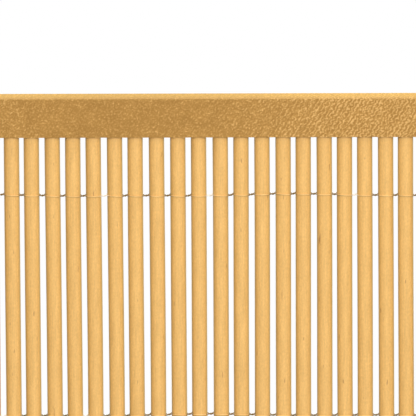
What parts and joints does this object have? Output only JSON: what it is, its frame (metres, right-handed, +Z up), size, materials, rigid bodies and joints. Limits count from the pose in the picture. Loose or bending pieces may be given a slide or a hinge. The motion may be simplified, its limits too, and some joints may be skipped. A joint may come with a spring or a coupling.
{
  "type": "synthetic wicker screening panel",
  "caption": "Flat screening panel of upright round plastic rods held in line by woven pairs of nylon thread, with a U-shaped cap along the top, to fix to a fence or railing.",
  "frame": {"origin": "middle of the panel's foot: halfway along its length and depth, at the lower ends of the rods", "axes": "+Z up along the rods, +X along the panel, the front faces -Y and the side that meets the fence faces +Y"},
  "size_m": [0.2912, 0.0104, 0.8],
  "materials": {
    "rod_plastic": "satin, faint lengthwise streaks",
    "cap_plastic": "matt, fine leather-like grain",
    "nylon_thread": "glossy, slightly see-through"
  },
  "bodies": {
    "root": {"top_cap": "cap_plastic", "rod_01": "rod_plastic", "rod_02": "rod_plastic", "rod_03": "rod_plastic", "rod_04": "rod_plastic", "rod_05": "rod_plastic", "rod_06": "rod_plastic", "rod_07": "rod_plastic", "rod_08": "rod_plastic", "rod_09": "rod_plastic", "rod_10": "rod_plastic", "rod_11": "rod_plastic", "rod_12": "rod_plastic", "rod_13": "rod_plastic", "rod_14": "rod_plastic", "rod_15": "rod_plastic", "rod_16": "rod_plastic", "rod_17": "rod_plastic", "rod_18": "rod_plastic", "rod_19": "rod_plastic", "rod_20": "rod_plastic", "rod_21": "rod_plastic", "rod_22": "rod_plastic", "rod_23": "rod_plastic", "rod_24": "rod_plastic", "rod_25": "rod_plastic", "rod_26": "rod_plastic", "rod_27": "rod_plastic", "rod_28": "rod_plastic", "rod_29": "rod_plastic", "rod_30": "rod_plastic", "rod_31": "rod_plastic", "rod_32": "rod_plastic", "tie_row_1_strand_a": "nylon_thread", "tie_row_1_strand_b": "nylon_thread", "tie_row_2_strand_a": "nylon_thread", "tie_row_2_strand_b": "nylon_thread", "tie_row_3_strand_a": "nylon_thread", "tie_row_3_strand_b": "nylon_thread", "tie_row_4_strand_a": "nylon_thread", "tie_row_4_strand_b": "nylon_thread", "tie_row_5_strand_a": "nylon_thread", "tie_row_5_strand_b": "nylon_thread", "tie_row_6_strand_a": "nylon_thread", "tie_row_6_strand_b": "nylon_thread", "tie_row_7_strand_a": "nylon_thread", "tie_row_7_strand_b": "nylon_thread", "tie_row_8_strand_a": "nylon_thread", "tie_row_8_strand_b": "nylon_thread"}
  },
  "joints": []
}
